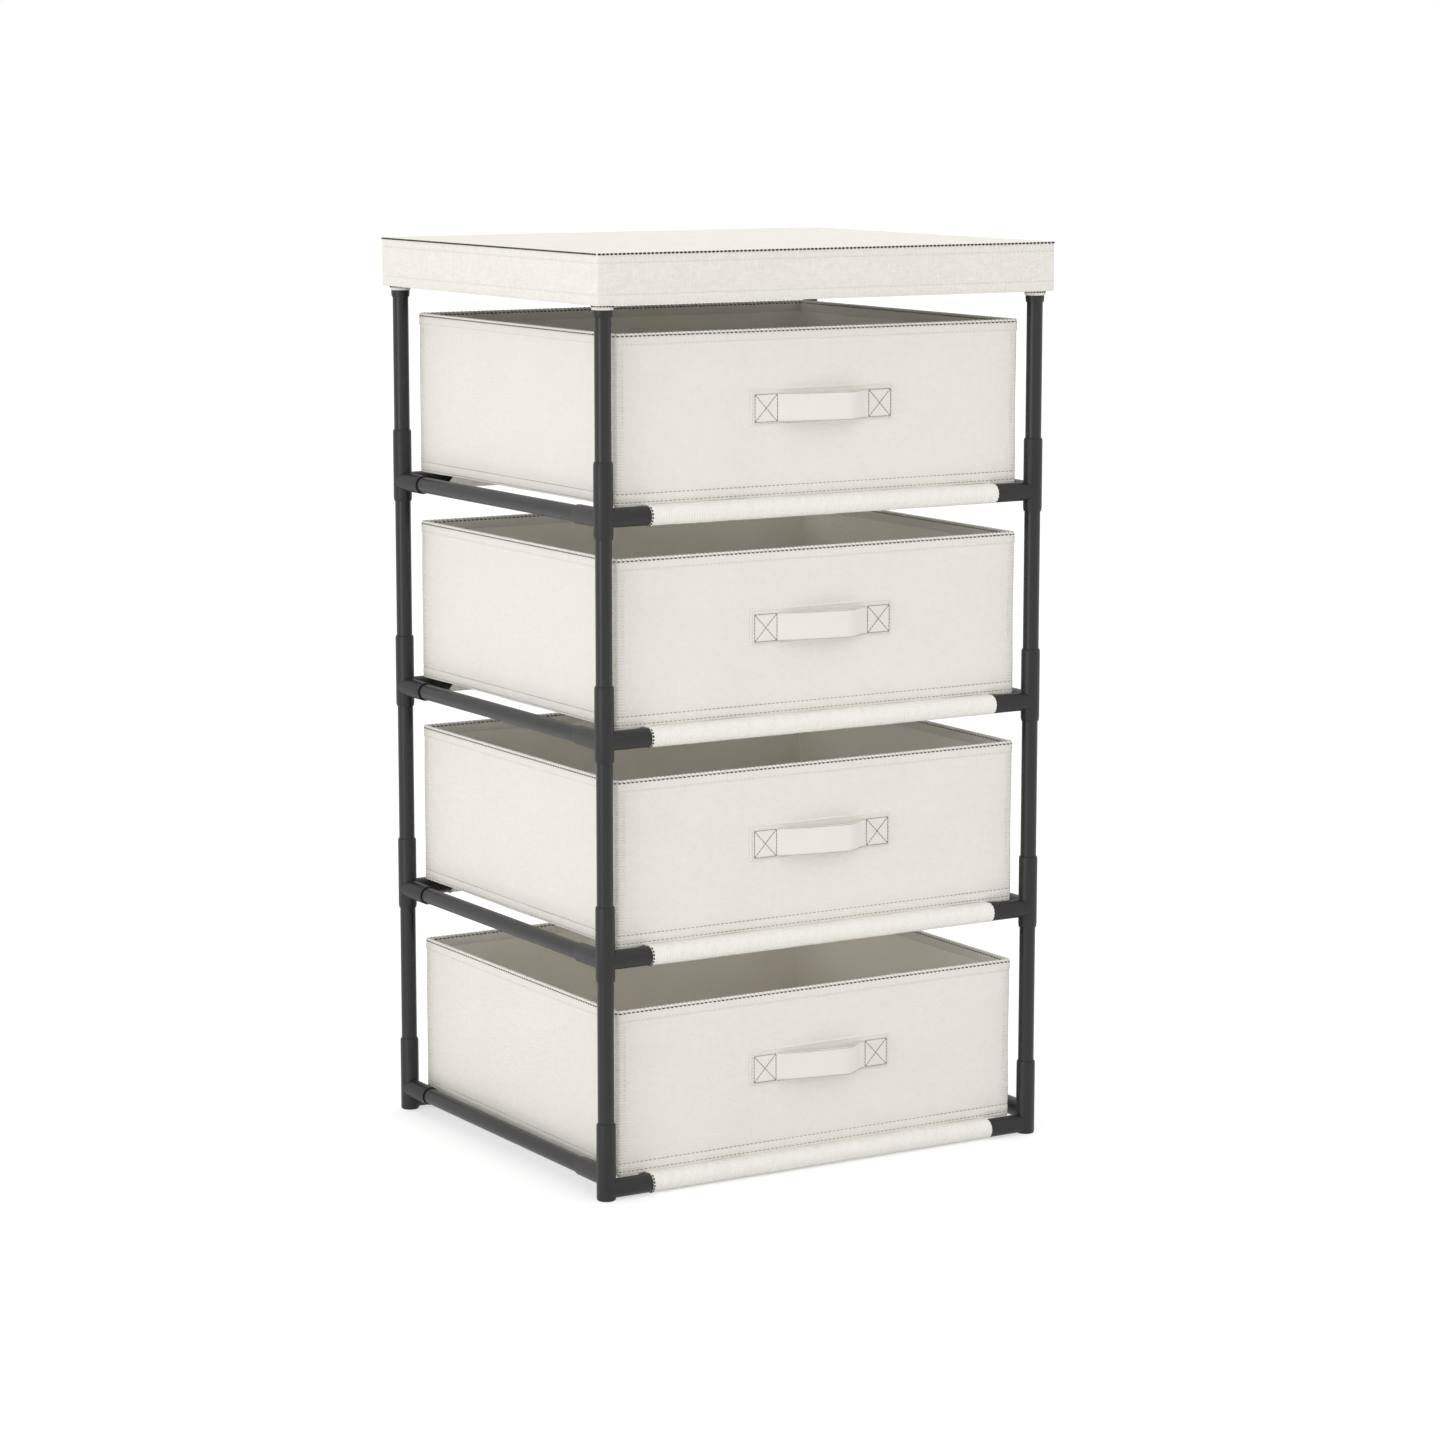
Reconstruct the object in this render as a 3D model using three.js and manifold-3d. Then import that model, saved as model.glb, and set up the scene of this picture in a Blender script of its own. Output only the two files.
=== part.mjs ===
// A free-standing storage shelf. Steel tubes push into plastic corner connectors to make the frame.
// Each level has a cloth shelf, sewn round the front and back rails, and an open fabric bin on it.
// A boxed fabric cover over a flat board closes the top.
// Millimetres, +Z up. The front faces -Y, and the origin is on the floor under the middle.
import * as THREE from "three";
import { mergeVertices } from "three/addons/utils/BufferGeometryUtils.js";
import Module from "manifold-3d";

const wasm = await Module();
wasm.setup();

// Frame: places of the uprights and of the shelf levels.
const postSpacingX = 493; // between the axes of the left and right uprights
const postSpacingY = 415; // between the axes of the front and back uprights
const shelfPitch = 212; // from one level's rails to the next
const shelfCount = 4;

// Tubes.
const tubeRadius = 8;
const tubeWall = 1;
const fitGap = 0.3; // clearance wherever two pieces touch or push together

// Connectors.
const socketWall = 1.1; // plastic round a tube
const armReach = 47; // from an upright's axis to the mouth of a rail socket
const stopWall = 5; // plastic between an upright's bore and the end of a rail
const webThickness = 8; // plastic between the upright below and the upright above
const sleeveAbove = 53; // from the rail axis up to the sleeve's top edge
const sleeveBelow = 20; // from the rail axis down to the sleeve's bottom edge
const mouthTaper = 3.5; // height over which the sleeve's bottom edge thins out
const mouthWall = 0.35; // what is left of the wall at that edge
const floorGap = 1.2; // under the lowest rail sockets
const footDrop = 12.4; // how far a foot's front or back rail lies below its side rail
const footRounding = 2;
const topGrip = 20; // depth of the sockets that take the tops of the uprights
const topSleeve = 46.5; // from the top rails' axis down to the sleeve's bottom edge

// Shelf cloth.
const clothThickness = 1.4;
const loopSeam = 26; // from the rail axis to the seam that closes the loop round the rail

// Bins.
const binHeight = 160;
const binSideGap = 6.6; // from a bin's side to the connector sleeves
const binFrontInset = 6; // from the front rail's axis to the bin's front
const binBackInset = 8; // from the back rail's axis to the bin's back
const binWall = 3; // lining, stiffener board and outer fabric
const binFloor = 4;
const binCorner = 5; // outer radius of the upright corners
const bindingHeight = 9;
const bindingProud = 0.6; // how far the rim's binding stands out from the wall

// Bin handle: a webbing strap, tacked down at both ends on a backing patch.
const strapHeight = 33;
const strapThickness = 1.8;
const strapSpan = 103; // free length between the tacked ends
const strapRise = 17; // how far the middle stands off the patch
const tackLength = 27;
const strapBelowRim = 76;
const patchMargin = 3;
const patchThickness = 1;

// Cover and its board.
const coverClearance = 3; // between the connectors and the skirt
const skirtThickness = 1.6;
const skirtHeight = 49;
const hemHeight = 10;
const hemProud = 0.5; // extra thickness of the turned-up hem, on the inside
const coverPanel = 1.2;
const coverCorner = 4;
const boardThickness = 2.4;

// Faceting, in sides of a full circle.
const roundSides = 16;
const boreSides = 12;
const coreSides = 8;
const loopSides = 16;
const cornerSides = 12;
const strapSteps = 12;
const overrun = 5; // how far a cutter runs past the face it opens

// Worked out from the sizes above.
const boreRadius = tubeRadius + fitGap;
const socketRadius = boreRadius + socketWall;
const boreFit = boreRadius / Math.cos(Math.PI / boreSides); // a faceted bore that clears the tube at its flats
const railSeat = boreFit + stopWall;
const halfX = postSpacingX / 2;
const halfY = postSpacingY / 2;
const mouthRadius = boreFit + mouthWall;
const halfWeb = webThickness / 2;
const uprightLength = shelfPitch - webThickness - 2 * fitGap;
const footRail = socketRadius + floorGap;
const sideRailHeight = (level) => footRail + footDrop + (level - 1) * shelfPitch;
const clothRailHeight = (level) => (level === 1 ? footRail : sideRailHeight(level));
const uprightBase = (level) => sideRailHeight(level) + halfWeb + fitGap;
const topSeat = uprightBase(shelfCount) + uprightLength + fitGap;
const topRail = topSeat - topGrip + topSleeve;
const loopInner = tubeRadius + fitGap;
const loopOuter = loopInner + clothThickness;
const binRest = Math.max(loopOuter, socketRadius) + fitGap;
const boardBase = topRail + socketRadius + fitGap;
const coverPanelBase = boardBase + boardThickness + fitGap;
const coverTop = coverPanelBase + coverPanel;
const coverHalfX = halfX + socketRadius + coverClearance + skirtThickness;
const coverHalfY = halfY + socketRadius + coverClearance + skirtThickness;

const plastic = new THREE.MeshStandardMaterial({ color: 0x3b3c3e, roughness: 0.5, metalness: 0 });
const steel = new THREE.MeshStandardMaterial({ color: 0x3e4042, roughness: 0.42, metalness: 0.3 });
const cream = new THREE.MeshStandardMaterial({ color: 0xece9df, roughness: 0.92, metalness: 0 });
const boardBrown = new THREE.MeshStandardMaterial({ color: 0xb59a73, roughness: 0.85, metalness: 0 });

// Solids: a closed geometry becomes a solid to join or cut, and a solid becomes a geometry again.
function solid(geometry) {
  const bare = new THREE.BufferGeometry().setAttribute("position", geometry.getAttribute("position"));
  bare.setIndex(geometry.getIndex());
  const merged = mergeVertices(bare);
  const corners = merged.getIndex().array;
  const faces = [];
  for (let i = 0; i < corners.length; i += 3) {
    const [a, b, c] = corners.slice(i, i + 3);
    if (a !== b && b !== c && c !== a) faces.push(a, b, c); // a face at a pole shrinks to a line
  }
  return new wasm.Manifold(
    new wasm.Mesh({
      numProp: 3,
      vertProperties: merged.getAttribute("position").array,
      triVerts: new Uint32Array(faces),
    }),
  );
}

function join(...solids) {
  return solids.reduce((whole, next) => whole.add(next));
}

function geometryOf(made) {
  const mesh = made.getMesh();
  const geometry = new THREE.BufferGeometry();
  geometry.setAttribute("position", new THREE.BufferAttribute(mesh.vertProperties, mesh.numProp));
  geometry.setIndex(new THREE.BufferAttribute(mesh.triVerts, 1));
  geometry.computeVertexNormals();
  return geometry;
}

function named(name, geometry, material) {
  const mesh = new THREE.Mesh(geometry, material);
  mesh.name = name;
  return mesh;
}

// A turned bar along +Z, from a list of [radius, height] pairs that climbs from the bottom.
function turned(outline, sides) {
  const points = outline.map(([radius, height]) => new THREE.Vector2(radius, height));
  return new THREE.LatheGeometry(points, sides).rotateX(Math.PI / 2);
}

function bar(radius, from, to, sides = roundSides) {
  return turned([[0, from], [radius, from], [radius, to], [0, to]], sides);
}

const alongX = (geometry) => geometry.rotateY(Math.PI / 2);
const alongY = (geometry) => geometry.rotateX(-Math.PI / 2);

// The four corners. A connector is drawn for the front left one, where its arms point along +X and +Y,
// and is mirrored for the others, because a foot comes in a left-hand and a right-hand form.
const corners = [
  { name: "front_left", x: -halfX, y: -halfY },
  { name: "front_right", x: halfX, y: -halfY },
  { name: "back_right", x: halfX, y: halfY },
  { name: "back_left", x: -halfX, y: halfY },
];
const mirrorFor = ({ x, y }) => [-Math.sign(x), -Math.sign(y), 1];

// Rail sockets of a connector, with the side rail's axis at height zero and the other rail's axis a drop below it.
function arms(drop = 0) {
  const arm = () => bar(socketRadius, 0, armReach);
  return join(solid(alongX(arm()).translate(0, 0, -drop)), solid(alongY(arm())));
}

function armBores(drop = 0) {
  const bore = () => bar(boreFit, railSeat, armReach + overrun, boreSides);
  return join(solid(alongX(bore()).translate(0, 0, -drop)), solid(alongY(bore())));
}

const boreAbove = () => solid(bar(boreFit, halfWeb, sleeveAbove + overrun, boreSides));

// A sleeve round an upright that comes from below: its bottom edge thins out towards the tube.
function sleeve(bottom, top) {
  const outline = [[0, bottom], [mouthRadius, bottom], [socketRadius, bottom + mouthTaper], [socketRadius, top], [0, top]];
  return turned(outline, roundSides);
}

// A middle connector takes an upright from below and one from above, and two rails.
function middleConnector() {
  const body = join(solid(sleeve(-sleeveBelow, sleeveAbove)), arms());
  const boreBelow = solid(bar(boreFit, -sleeveBelow - overrun, -halfWeb, boreSides));
  return body.subtract(join(boreAbove(), boreBelow, armBores()));
}

// A foot is closed at the floor, with a rounded bottom edge, and takes one of its two rails lower down.
function footConnector() {
  const floor = -sideRailHeight(1);
  const roundingIn = footRounding * (1 - Math.SQRT1_2);
  const outline = [
    [0, floor],
    [socketRadius - footRounding, floor],
    [socketRadius - roundingIn, floor + roundingIn],
    [socketRadius, floor + footRounding],
    [socketRadius, sleeveAbove],
    [0, sleeveAbove],
  ];
  const body = join(solid(turned(outline, roundSides)), arms(footDrop));
  return body.subtract(join(boreAbove(), armBores(footDrop)));
}

// The top frame: four corner connectors that cap the uprights, with their rails seated in them.
function topFrame() {
  const collar = sleeve(-topSleeve, 0);
  const crown = new THREE.SphereGeometry(socketRadius, roundSides, roundSides / 2).rotateX(Math.PI / 2);
  const bore = bar(boreFit, -topSleeve - overrun, topGrip - topSleeve, boreSides);
  const corner = join(solid(collar), solid(crown), arms());
  const placed = corners.map((place) => corner.scale(mirrorFor(place)).translate([place.x, place.y, 0]));
  const railX = (y) => solid(alongX(bar(tubeRadius, -halfX, halfX)).translate(0, y, 0));
  const railY = (x) => solid(alongY(bar(tubeRadius, -halfY, halfY)).translate(x, 0, 0));
  const rails = join(railX(-halfY), railX(halfY), railY(-halfX), railY(halfX));
  const bores = join(...corners.map(({ x, y }) => solid(bore.clone().translate(x, y, 0))));
  return join(...placed, rails).subtract(bores);
}

// A steel tube along +Z with its middle at zero.
function tube(length) {
  const ring = (radius, sides) => bar(radius, -length / 2, length / 2, sides);
  const core = bar(tubeRadius - tubeWall, -length / 2 - overrun, length / 2 + overrun, coreSides);
  return geometryOf(solid(ring(tubeRadius, roundSides)).subtract(solid(core)));
}

// The loop of cloth round a rail, seen along the rail, with the rail's axis at zero and the shelf on the right.
// The cloth leaves the top of the rail, passes round and under it, and comes up to the shelf at the seam.
function loopOutline(radius, seam, Kind) {
  const start = Math.PI / 2;
  const end = 1.5 * Math.PI + 2 * Math.atan2(radius, seam);
  const steps = Math.ceil((loopSides * (end - start)) / (2 * Math.PI));
  const arc = Array.from({ length: steps + 1 }, (_, i) => {
    const angle = start + ((end - start) * i) / steps;
    return new THREE.Vector2(radius * Math.cos(angle), radius * Math.sin(angle));
  });
  return new Kind([...arc, new THREE.Vector2(seam, radius)]);
}

// The shelf cloth: one taut sheet with a sewn loop along its front edge and its back edge.
function shelfCloth() {
  const width = postSpacingX - 2 * armReach - 2 * fitGap;
  const loop = loopOutline(loopOuter, loopSeam, THREE.Shape);
  loop.holes.push(
    loopOutline(loopInner / Math.cos(Math.PI / loopSides), loopSeam - 2 * clothThickness, THREE.Path),
  );
  const alongRail = (geometry) => solid(geometry.rotateX(Math.PI / 2).rotateZ(Math.PI / 2).translate(-width / 2, 0, 0));
  const sewn = alongRail(new THREE.ExtrudeGeometry(loop, { depth: width, bevelEnabled: false }));
  const front = sewn.translate([0, -halfY, 0]);
  const sheet = new THREE.BoxGeometry(width, postSpacingY, clothThickness);
  sheet.translate(0, 0, loopInner + clothThickness / 2);
  return geometryOf(join(solid(sheet), front, front.rotate([0, 0, 180])));
}

// A rectangle with rounded corners in the XY plane.
function roundedPlan(left, right, front, back, radius, Kind = THREE.Shape) {
  const plan = new Kind();
  plan.moveTo(left + radius, front);
  plan.lineTo(right - radius, front);
  plan.absarc(right - radius, front + radius, radius, -Math.PI / 2, 0);
  plan.lineTo(right, back - radius);
  plan.absarc(right - radius, back - radius, radius, 0, Math.PI / 2);
  plan.lineTo(left + radius, back);
  plan.absarc(left + radius, back - radius, radius, Math.PI / 2, Math.PI);
  plan.lineTo(left, front + radius);
  plan.absarc(left + radius, front + radius, radius, Math.PI, 1.5 * Math.PI);
  return plan;
}

function plate(plan, from, to) {
  const geometry = new THREE.ExtrudeGeometry(plan, {
    depth: to - from,
    bevelEnabled: false,
    curveSegments: cornerSides / 4,
  });
  return geometry.translate(0, 0, from);
}

// A band of wall that follows the plan of a box: outset moves its outer face out, depth is its thickness.
function band(box, outset, depth, from, to) {
  const outer = roundedPlan(
    box.left - outset, box.right + outset, box.front - outset, box.back + outset, box.corner + outset,
  );
  const inset = depth - outset;
  outer.holes.push(roundedPlan(
    box.left + inset, box.right - inset, box.front + inset, box.back - inset,
    Math.max(box.corner - inset, fitGap), THREE.Path,
  ));
  return plate(outer, from, to);
}

// The handle, seen from above with X along the bin's front and Y at zero on the bin's outer face.
// The strap rises off its patch between the two tacked ends, steeply at first and flatter in the middle.
function handle() {
  const halfSpan = strapSpan / 2;
  const halfStrap = halfSpan + tackLength;
  const rise = (share) => strapRise * (1 - Math.abs(share) ** 3);
  const curve = Array.from({ length: strapSteps + 1 }, (_, i) => {
    const share = (2 * i) / strapSteps - 1;
    return [share * halfSpan, rise(share)];
  });
  const seat = -patchThickness;
  const outside = curve.map(([x, out]) => new THREE.Vector2(x, seat - strapThickness - out));
  const inside = curve.slice(1, -1).map(([x, out]) => {
    const back = Math.min(out, strapRise);
    return new THREE.Vector2(x * (1 - strapThickness / halfSpan), seat - back);
  });
  const strap = new THREE.Shape([
    new THREE.Vector2(-halfStrap, seat + patchThickness / 2),
    new THREE.Vector2(-halfStrap, seat - strapThickness),
    ...outside,
    new THREE.Vector2(halfStrap, seat - strapThickness),
    new THREE.Vector2(halfStrap, seat + patchThickness / 2),
    new THREE.Vector2(halfSpan, seat + patchThickness / 2),
    new THREE.Vector2(halfSpan - strapThickness, seat),
    ...inside.reverse(),
    new THREE.Vector2(strapThickness - halfSpan, seat),
    new THREE.Vector2(-halfSpan, seat + patchThickness / 2),
  ]);
  const webbing = new THREE.ExtrudeGeometry(strap, { depth: strapHeight, bevelEnabled: false });
  webbing.translate(0, 0, -strapHeight / 2);
  const patch = new THREE.BoxGeometry(
    2 * (halfStrap + patchMargin), patchThickness + binWall / 2, strapHeight + 2 * patchMargin,
  );
  patch.translate(0, (binWall / 2 - patchThickness) / 2, 0);
  return join(solid(webbing), solid(patch));
}

// A bin stands on zero: stiffened walls and floor, a bound rim, and the handle sewn to its front.
function bin() {
  const box = {
    left: socketRadius + binSideGap - halfX,
    right: halfX - socketRadius - binSideGap,
    front: binFrontInset - halfY,
    back: halfY - binBackInset,
    corner: binCorner,
  };
  const walls = solid(band(box, 0, binWall, 0, binHeight));
  const floor = solid(plate(roundedPlan(box.left, box.right, box.front, box.back, box.corner), 0, binFloor));
  const binding = solid(
    band(box, bindingProud, binWall + 2 * bindingProud, binHeight - bindingHeight, binHeight + bindingProud),
  );
  const pull = handle().translate([0, box.front, binHeight - strapBelowRim]);
  return geometryOf(join(walls, floor, binding, pull));
}

// The cover: a flat top with a skirt all round that hangs over the top frame, and a turned-up hem.
function cover() {
  const box = { left: -coverHalfX, right: coverHalfX, front: -coverHalfY, back: coverHalfY, corner: coverCorner };
  const hemBase = coverTop - skirtHeight;
  const top = plate(roundedPlan(box.left, box.right, box.front, box.back, box.corner), coverPanelBase, coverTop);
  const skirt = band(box, 0, skirtThickness, hemBase, coverTop);
  const hem = band(box, 0, skirtThickness + hemProud, hemBase, hemBase + hemHeight);
  return geometryOf(join(solid(top), solid(skirt), solid(hem)));
}

// The board that keeps the cover's top flat lies on the connectors of the top frame.
function coverBoard() {
  const inset = skirtThickness + fitGap;
  const x = coverHalfX - inset;
  const y = coverHalfY - inset;
  const corner = Math.max(coverCorner - inset, fitGap);
  return plate(roundedPlan(-x, x, -y, y, corner), boardBase, boardBase + boardThickness);
}

const shelf = new THREE.Group();

// Connectors and uprights, corner by corner.
const footShape = geometryOf(footConnector());
const middleShape = geometryOf(middleConnector());
const uprightShape = tube(uprightLength);
for (const place of corners) {
  const post = new THREE.Group();
  post.position.set(place.x, place.y, 0);
  shelf.add(post);
  for (let level = 1; level <= shelfCount; level += 1) {
    const connector = level === 1
      ? named(`foot_connector_${place.name}`, footShape, plastic)
      : named(`connector_${level}_${place.name}`, middleShape, plastic);
    connector.position.z = sideRailHeight(level);
    connector.scale.set(...mirrorFor(place));
    const upright = named(`upright_${level}_${place.name}`, uprightShape, steel);
    upright.position.z = uprightBase(level) + uprightLength / 2;
    post.add(connector, upright);
  }
}

// Rails, shelf cloth and bin, level by level. The cloth hangs on the front and back rails.
const railLengthX = postSpacingX - 2 * (railSeat + fitGap);
const railLengthY = postSpacingY - 2 * (railSeat + fitGap);
const frontRailShape = alongX(tube(railLengthX));
const sideRailShape = alongY(tube(railLengthY));
const clothShape = shelfCloth();
const binShape = bin();
for (let level = 1; level <= shelfCount; level += 1) {
  const storey = new THREE.Group();
  storey.position.z = clothRailHeight(level);
  shelf.add(storey);
  for (const [side, y] of [["front", -halfY], ["back", halfY]]) {
    const rail = named(`${side}_rail_${level}`, frontRailShape, steel);
    rail.position.y = y;
    storey.add(rail);
  }
  for (const [side, x] of [["left", -halfX], ["right", halfX]]) {
    const rail = named(`side_rail_${level}_${side}`, sideRailShape, steel);
    rail.position.set(x, 0, sideRailHeight(level));
    shelf.add(rail);
  }
  const basket = named(`bin_${level}`, binShape, cream);
  basket.position.z = binRest;
  storey.add(named(`shelf_cloth_${level}`, clothShape, cream), basket);
}

const crown = named("top_frame", geometryOf(topFrame()), plastic);
crown.position.z = topRail;
shelf.add(crown, named("cover_board", coverBoard(), boardBrown), named("cover", cover(), cream));

export default shelf;
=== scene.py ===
# A free-standing storage shelf: a push-fit frame of charcoal tubes, four cloth shelves with an open fabric
# bin on each, and a boxed fabric cover over the top. Metres, +Z up, and the front faces -Y.
import math

import bmesh
import bpy
import numpy as np
from mathutils import Matrix, Vector, noise


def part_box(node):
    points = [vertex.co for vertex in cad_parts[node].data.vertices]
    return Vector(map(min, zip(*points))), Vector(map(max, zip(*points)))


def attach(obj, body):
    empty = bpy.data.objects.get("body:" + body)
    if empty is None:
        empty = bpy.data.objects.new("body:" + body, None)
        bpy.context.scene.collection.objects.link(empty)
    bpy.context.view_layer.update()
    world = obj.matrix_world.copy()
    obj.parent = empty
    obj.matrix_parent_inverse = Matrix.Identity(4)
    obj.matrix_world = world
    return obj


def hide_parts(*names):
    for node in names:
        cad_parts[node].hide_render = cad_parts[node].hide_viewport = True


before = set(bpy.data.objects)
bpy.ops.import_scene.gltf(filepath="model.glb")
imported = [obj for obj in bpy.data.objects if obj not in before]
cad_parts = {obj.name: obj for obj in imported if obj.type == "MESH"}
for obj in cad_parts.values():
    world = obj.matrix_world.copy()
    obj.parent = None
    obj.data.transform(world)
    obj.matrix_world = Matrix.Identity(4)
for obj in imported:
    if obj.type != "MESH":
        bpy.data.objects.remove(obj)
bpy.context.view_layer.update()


# Viewpoint. The camera stands a little above the cover, in front of the shelf and to its left, a long way
# off and with a long lens, so that the uprights look nearly parallel.
VIEW_FROM = Vector((-2.1340, -3.5300, 1.0720))
VIEW_TURN = math.radians(31.24)  # from straight ahead towards the right
VIEW_DOWN = math.radians(8.99)
VIEW_LENS = 102.36  # mm, on a sensor 36 mm wide

view_lens = bpy.data.cameras.new("viewpoint")
view_lens.sensor_width = 36
view_lens.lens = VIEW_LENS
viewpoint = bpy.data.objects.new("viewpoint", view_lens)
viewpoint.location = VIEW_FROM
viewpoint.rotation_euler = (math.pi / 2 - VIEW_DOWN, 0, -VIEW_TURN)
bpy.context.scene.collection.objects.link(viewpoint)
bpy.context.scene.camera = viewpoint


# Corner connectors. Each is one piece of charcoal plastic from a mould: a sleeve that takes the upright
# below and the upright above, and two sockets for rails. The feet are closed at the floor, and take their
# front or back rail lower than their side rail, so they come in a left-hand and a right-hand form.
SLEEVE_RADIUS = 0.0094
SLEEVE_BORE = 0.0083
SLEEVE_ABOVE = 0.053  # from the side rail's axis to the sleeve's top edge
SLEEVE_BELOW = 0.020
SLEEVE_LIP = 0.0024  # height over which the top edge is rounded off
SLEEVE_LIP_INSET = 0.0008
SLEEVE_TAPER = 0.0036  # height over which the bottom edge thins out
WEB = 0.004  # half the plastic between the uprights' bores
ARM_REACH = 0.047
ARM_STOP = 0.0136  # where a rail ends inside its socket
DRAFT = 0.00003  # each arm is a hair thinner than what it grows from
MOUTH_EDGE = 0.0006  # of a tapered sleeve, round its bore
MOULD_ROUNDING = 0.0011
FOOT_ROUNDING = 0.0018
TURNED_SIDES = 48
CUTTER_PAST = 0.006
PLASTIC_DARK = (0.012, 0.0119, 0.012, 1)
PLASTIC_LIGHT = (0.019, 0.0188, 0.019, 1)

CORNERS = {"front_left": (-1, -1), "front_right": (1, -1), "back_right": (1, 1), "back_left": (-1, 1)}
LEVELS = (1, 2, 3, 4)


def middle(node):
    low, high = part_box(node)
    return (low + high) / 2


def turned(outline):
    """Rings round +Z, one for each (radius, height) of an outline that climbs from the bottom."""
    angles = np.arange(TURNED_SIDES) * (2 * math.pi / TURNED_SIDES)
    circle = np.column_stack((np.cos(angles), np.sin(angles)))
    return [np.column_stack((circle * radius, np.full(len(circle), height))) for radius, height in outline]


def skin(name, rings, looped=False):
    """A mesh over rings of points, with a face in each end ring, or looped from the last to the first."""
    count = len(rings[0])
    faces = []
    for i in range(len(rings) if looped else len(rings) - 1):
        here, there = i * count, (i + 1) % len(rings) * count
        for j in range(count):
            k = (j + 1) % count
            faces.append((here + j, here + k, there + k, there + j))
    if not looped:
        faces.append(tuple(range(count - 1, -1, -1)))
        faces.append(tuple(range((len(rings) - 1) * count, len(rings) * count)))
    mesh = bpy.data.meshes.new(name)
    mesh.from_pydata(np.concatenate(rings).tolist(), [], faces)
    return mesh


def smoothed(mesh, finish, crease=35):
    """Shades a mesh smooth, except across edges sharper than crease, and gives it a finish."""
    mesh.materials.clear()
    mesh.materials.append(finish)
    mesh.shade_smooth()
    mesh.set_sharp_from_angle(angle=math.radians(crease))
    return mesh


def put(name, mesh, place=(0, 0, 0), turn=0.0):
    piece = bpy.data.objects.new(name, mesh)
    piece.location = place
    piece.rotation_euler.z = turn
    bpy.context.scene.collection.objects.link(piece)
    return piece


def laid(mesh, axis):
    """Turns a mesh that stands along +Z to lie along an axis."""
    if axis == "X":
        mesh.transform(Matrix.Rotation(math.pi / 2, 4, "Y"))
    if axis == "Y":
        mesh.transform(Matrix.Rotation(-math.pi / 2, 4, "X"))
    return mesh


def rod(radius, start, end, axis="Z", height=0.0):
    """A solid bar from start to end along an axis, at a height."""
    bar = laid(skin("rod", turned([(radius, start), (radius, end)])), axis)
    bar.transform(Matrix.Translation((0, 0, height)))
    return bar


def moulded(name, solids, bores):
    """Solids joined into one body and bored out, with every edge rounded as it leaves the mould."""
    blanks = [put("blank", mesh) for mesh in [*solids, *bores]]
    body = blanks[0]
    for i, blank in enumerate(blanks[1:], start=1):
        step = body.modifiers.new("step", "BOOLEAN")
        step.operation = "UNION" if i < len(solids) else "DIFFERENCE"
        step.solver = "EXACT"
        step.object = blank
    bpy.context.view_layer.update()
    mesh = bpy.data.meshes.new_from_object(body.evaluated_get(bpy.context.evaluated_depsgraph_get()))
    mesh.name = name
    for blank in blanks:
        bpy.data.objects.remove(blank)
    shape = bmesh.new()
    shape.from_mesh(mesh)
    bmesh.ops.remove_doubles(shape, verts=shape.verts, dist=2e-5)
    bmesh.ops.dissolve_degenerate(shape, edges=shape.edges, dist=2e-5)
    sharp = math.radians(20)
    edges = [edge for edge in shape.edges if edge.is_manifold and edge.calc_face_angle() > sharp]
    cut = {"segments": 3, "profile": 0.5, "affect": "EDGES", "clamp_overlap": True}
    bmesh.ops.bevel(shape, geom=edges, offset=MOULD_ROUNDING, **cut)
    bmesh.ops.remove_doubles(shape, verts=shape.verts, dist=1e-5)
    shape.to_mesh(mesh)
    shape.free()
    return mesh


class Wire:
    """One output of a shader node. Arithmetic on wires adds the nodes that work it out."""

    def __init__(self, tree, socket):
        self.tree = tree
        self.socket = socket

    def node(self, kind, settings, sockets, output=0):
        """Adds a node: its settings first, then a value or a wire for each socket."""
        made = self.tree.nodes.new(kind)
        for name, value in settings.items():
            setattr(made, name, value)
        for name, value in sockets.items():
            if isinstance(value, Wire):
                self.tree.links.new(value.socket, made.inputs[name])
            else:
                made.inputs[name].default_value = value
        return Wire(self.tree, made.outputs[output])

    def maths(self, operation, first, second=0.0):
        return self.node("ShaderNodeMath", {"operation": operation}, {0: first, 1: second})

    def __add__(self, other):
        return self.maths("ADD", self, other)

    def __sub__(self, other):
        return self.maths("SUBTRACT", self, other)

    def __rsub__(self, other):
        return self.maths("SUBTRACT", other, self)

    def __mul__(self, other):
        return self.maths("MULTIPLY", self, other)

    __radd__ = __add__
    __rmul__ = __mul__

    def __pow__(self, other):
        return self.maths("POWER", self, other)

    def at_least(self, other):
        return self.maths("MAXIMUM", self, other)

    def at_most(self, other):
        return self.maths("MINIMUM", self, other)

    def sine(self):
        return self.maths("SINE", self)

    def size(self):
        return self.maths("ABSOLUTE", self)

    def stretched(self, shares):
        """A place whose x, y and z are scaled by shares, so that a grain on it is drawn out."""
        return self.node("ShaderNodeVectorMath", {"operation": "MULTIPLY"}, {0: self, 1: shares})

    def grain(self, spacing, detail=2.0):
        """Noise from 0 to 1 over a place, with blotches about spacing across."""
        settings = {"noise_dimensions": "3D", "normalize": True}
        sockets = {"Vector": self, "Scale": 1 / spacing, "Detail": detail}
        return self.node("ShaderNodeTexNoise", settings, sockets)

    def tint(self, low, high):
        """A colour that goes from low to high as this wire goes from 0 to 1."""
        return self.node("ShaderNodeMix", {"data_type": "RGBA"}, {0: self, 6: low, 7: high}, output=2)

    def relief(self, depth):
        """The surface normal where this wire, from 0 to 1, is a height of up to depth."""
        return self.node("ShaderNodeBump", {}, {"Strength": 1.0, "Distance": depth, "Height": self})


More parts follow.
